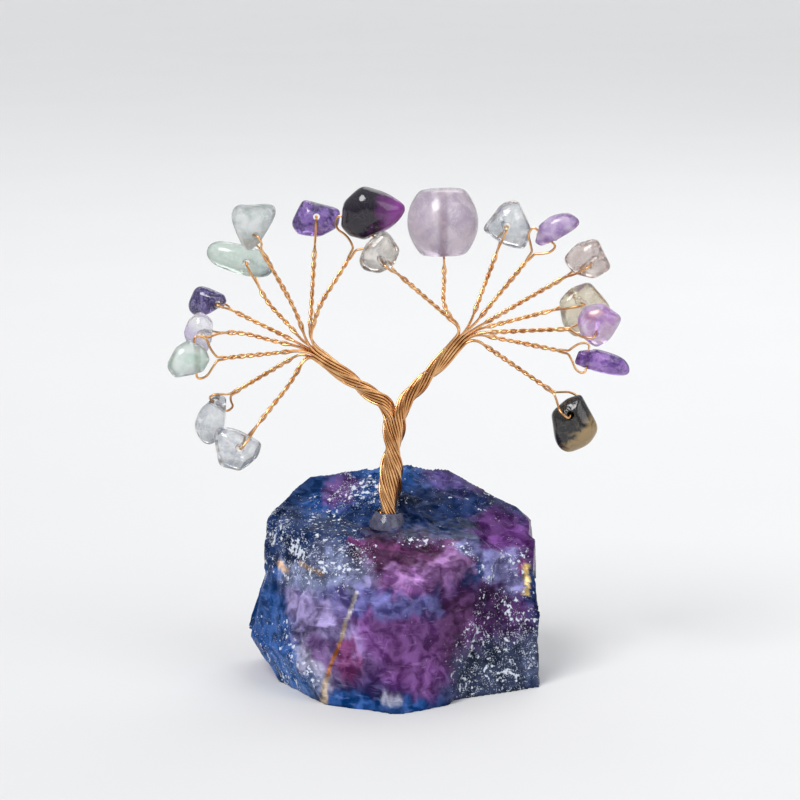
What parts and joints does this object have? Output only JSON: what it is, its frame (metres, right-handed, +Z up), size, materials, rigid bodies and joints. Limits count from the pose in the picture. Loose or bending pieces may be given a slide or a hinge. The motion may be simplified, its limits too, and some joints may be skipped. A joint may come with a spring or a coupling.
{
  "type": "gemstone tree ornament",
  "caption": "Small table ornament shaped like a tree: tumbled gemstone chips on twisted copper wire twigs, forking from one twisted trunk glued into a rough fluorite base.",
  "frame": {"origin": "middle of the base stone's sawn underside", "axes": "+Z up from the sawn underside, +X to the right along the crown, -Y towards the crown's front"},
  "size_m": [0.0632, 0.0346, 0.0683],
  "materials": {
    "fluorite": "rough broken crystal",
    "glue": "clear, glossy",
    "copper_wire": "bright drawn copper",
    "deep_amethyst": "tumbled, polished",
    "milky_triangle": "tumbled, polished",
    "mint_oval": "tumbled, polished",
    "clear_half_round": "tumbled, polished",
    "violet_amethyst": "tumbled, polished",
    "green_oblong": "tumbled, polished",
    "indigo_shard": "tumbled, polished",
    "lilac_clear": "tumbled, polished",
    "clear_drop": "tumbled, polished",
    "barrel_bead": "frosted",
    "clear_wedge": "tumbled, polished",
    "honey_clear": "tumbled, polished",
    "violet_oblong": "tumbled, polished",
    "smoky_pebble": "tumbled, polished",
    "lilac_splinter": "tumbled, polished",
    "rose_clear": "tumbled, polished",
    "pale_violet": "tumbled, polished",
    "black_gold": "tumbled, polished"
  },
  "bodies": {
    "tree": {"base_stone": "fluorite", "glue_bead": "glue", "wire_deep_amethyst": "copper_wire", "wire_milky_triangle": "copper_wire", "wire_mint_oval": "copper_wire", "wire_clear_half_round": "copper_wire", "wire_violet_amethyst": "copper_wire", "wire_green_oblong": "copper_wire", "wire_indigo_shard": "copper_wire", "wire_lilac_clear": "copper_wire", "wire_clear_drop": "copper_wire", "wire_barrel_bead": "copper_wire", "wire_clear_wedge": "copper_wire", "wire_honey_clear": "copper_wire", "wire_violet_oblong": "copper_wire", "wire_smoky_pebble": "copper_wire", "wire_lilac_splinter": "copper_wire", "wire_rose_clear": "copper_wire", "wire_pale_violet": "copper_wire", "wire_black_gold": "copper_wire"},
    "chip_deep_amethyst": {"chip_deep_amethyst": "deep_amethyst"},
    "chip_milky_triangle": {"chip_milky_triangle": "milky_triangle"},
    "chip_mint_oval": {"chip_mint_oval": "mint_oval"},
    "chip_clear_half_round": {"chip_clear_half_round": "clear_half_round"},
    "chip_violet_amethyst": {"chip_violet_amethyst": "violet_amethyst"},
    "chip_green_oblong": {"chip_green_oblong": "green_oblong"},
    "chip_indigo_shard": {"chip_indigo_shard": "indigo_shard"},
    "chip_lilac_clear": {"chip_lilac_clear": "lilac_clear"},
    "chip_clear_drop": {"chip_clear_drop": "clear_drop"},
    "barrel_bead": {"barrel_bead": "barrel_bead"},
    "chip_clear_wedge": {"chip_clear_wedge": "clear_wedge"},
    "chip_honey_clear": {"chip_honey_clear": "honey_clear"},
    "chip_violet_oblong": {"chip_violet_oblong": "violet_oblong"},
    "chip_smoky_pebble": {"chip_smoky_pebble": "smoky_pebble"},
    "chip_lilac_splinter": {"chip_lilac_splinter": "lilac_splinter"},
    "chip_rose_clear": {"chip_rose_clear": "rose_clear"},
    "chip_pale_violet": {"chip_pale_violet": "pale_violet"},
    "chip_black_gold": {"chip_black_gold": "black_gold"}
  },
  "joints": [
    {"name": "chip_deep_amethyst_turn", "type": "hinge", "parent": "tree", "child": "chip_deep_amethyst", "pos_m": [-0.00388, -0.00093, 0.06212], "axis": [-0.8297, 0.2585, 0.4947], "range_deg": [-20, 20]},
    {"name": "chip_milky_triangle_turn", "type": "hinge", "parent": "tree", "child": "chip_milky_triangle", "pos_m": [-0.01881, -0.00377, 0.06215], "axis": [0.3937, -0.9192, -0.0119], "range_deg": [-40, 10]},
    {"name": "chip_mint_oval_turn", "type": "hinge", "parent": "tree", "child": "chip_mint_oval", "pos_m": [-0.02638, -0.00543, 0.04532], "axis": [-0.0454, 0, 0.999], "range_deg": [-60, 60]},
    {"name": "chip_clear_half_round_turn", "type": "hinge", "parent": "tree", "child": "chip_clear_half_round", "pos_m": [-0.02073, -0.00367, 0.03306], "axis": [-0.1385, 0.9744, -0.1773], "range_deg": [-45, 50]},
    {"name": "chip_violet_amethyst_turn", "type": "hinge", "parent": "tree", "child": "chip_violet_amethyst", "pos_m": [-0.01043, 0.00339, 0.0634], "axis": [0.0113, -0.9816, 0.1905], "range_deg": [-45, 20]},
    {"name": "chip_green_oblong_turn", "type": "hinge", "parent": "tree", "child": "chip_green_oblong", "pos_m": [-0.01972, 0.00347, 0.05709], "axis": [-0.106, -0.9703, 0.2174], "range_deg": [-10, 20]},
    {"name": "chip_indigo_shard_turn", "type": "hinge", "parent": "tree", "child": "chip_indigo_shard", "pos_m": [-0.02365, 0.00383, 0.05153], "axis": [0.251, 0.9613, -0.1139], "range_deg": [-45, 25]},
    {"name": "chip_lilac_clear_turn", "type": "hinge", "parent": "tree", "child": "chip_lilac_clear", "pos_m": [-0.02585, -0.00051, 0.04806], "axis": [-0.0348, 0.9994, -0.0024], "range_deg": [-45, 25]},
    {"name": "chip_clear_drop_turn", "type": "hinge", "parent": "tree", "child": "chip_clear_drop", "pos_m": [-0.02428, 0.0035, 0.03787], "axis": [-0.5326, -0.6263, 0.5693], "range_deg": [-45, 55]},
    {"name": "barrel_bead_turn", "type": "hinge", "parent": "tree", "child": "barrel_bead", "pos_m": [0.00671, 0.00298, 0.05832], "axis": [-0.0349, 0.0523, 0.998], "continuous": true},
    {"name": "chip_clear_wedge_turn", "type": "hinge", "parent": "tree", "child": "chip_clear_wedge", "pos_m": [0.01511, 0.0016, 0.06247], "axis": [0.0364, -0.9945, 0.098], "range_deg": [-20, 35]},
    {"name": "chip_honey_clear_turn", "type": "hinge", "parent": "tree", "child": "chip_honey_clear", "pos_m": [0.02527, 0.00337, 0.05175], "axis": [0.2027, -0.9781, 0.0461], "range_deg": [-10, 45]},
    {"name": "chip_violet_oblong_turn", "type": "hinge", "parent": "tree", "child": "chip_violet_oblong", "pos_m": [0.02623, 0.00236, 0.0446], "axis": [-0.1569, -0.3387, -0.9277], "range_deg": [-45, 45]},
    {"name": "chip_smoky_pebble_turn", "type": "hinge", "parent": "tree", "child": "chip_smoky_pebble", "pos_m": [-0.00168, -0.00478, 0.05885], "axis": [-0.2149, 0.9563, 0.1983], "range_deg": [-45, 45]},
    {"name": "chip_lilac_splinter_turn", "type": "hinge", "parent": "tree", "child": "chip_lilac_splinter", "pos_m": [0.02026, -0.00207, 0.06146], "axis": [0.7597, -0.1723, -0.627], "range_deg": [-45, 45]},
    {"name": "chip_rose_clear_turn", "type": "hinge", "parent": "tree", "child": "chip_rose_clear", "pos_m": [0.02622, -0.00483, 0.05856], "axis": [0.2047, 0.9703, 0.1289], "range_deg": [-15, 45]},
    {"name": "chip_pale_violet_turn", "type": "hinge", "parent": "tree", "child": "chip_pale_violet", "pos_m": [0.0271, -0.00465, 0.04966], "axis": [0.2144, 0.9077, 0.3608], "range_deg": [-8, 45]},
    {"name": "chip_black_gold_turn", "type": "hinge", "parent": "tree", "child": "chip_black_gold", "pos_m": [0.02437, -0.00093, 0.0382], "axis": [-0.3212, -0.8648, -0.3858], "range_deg": [-20, 45]}
  ]
}
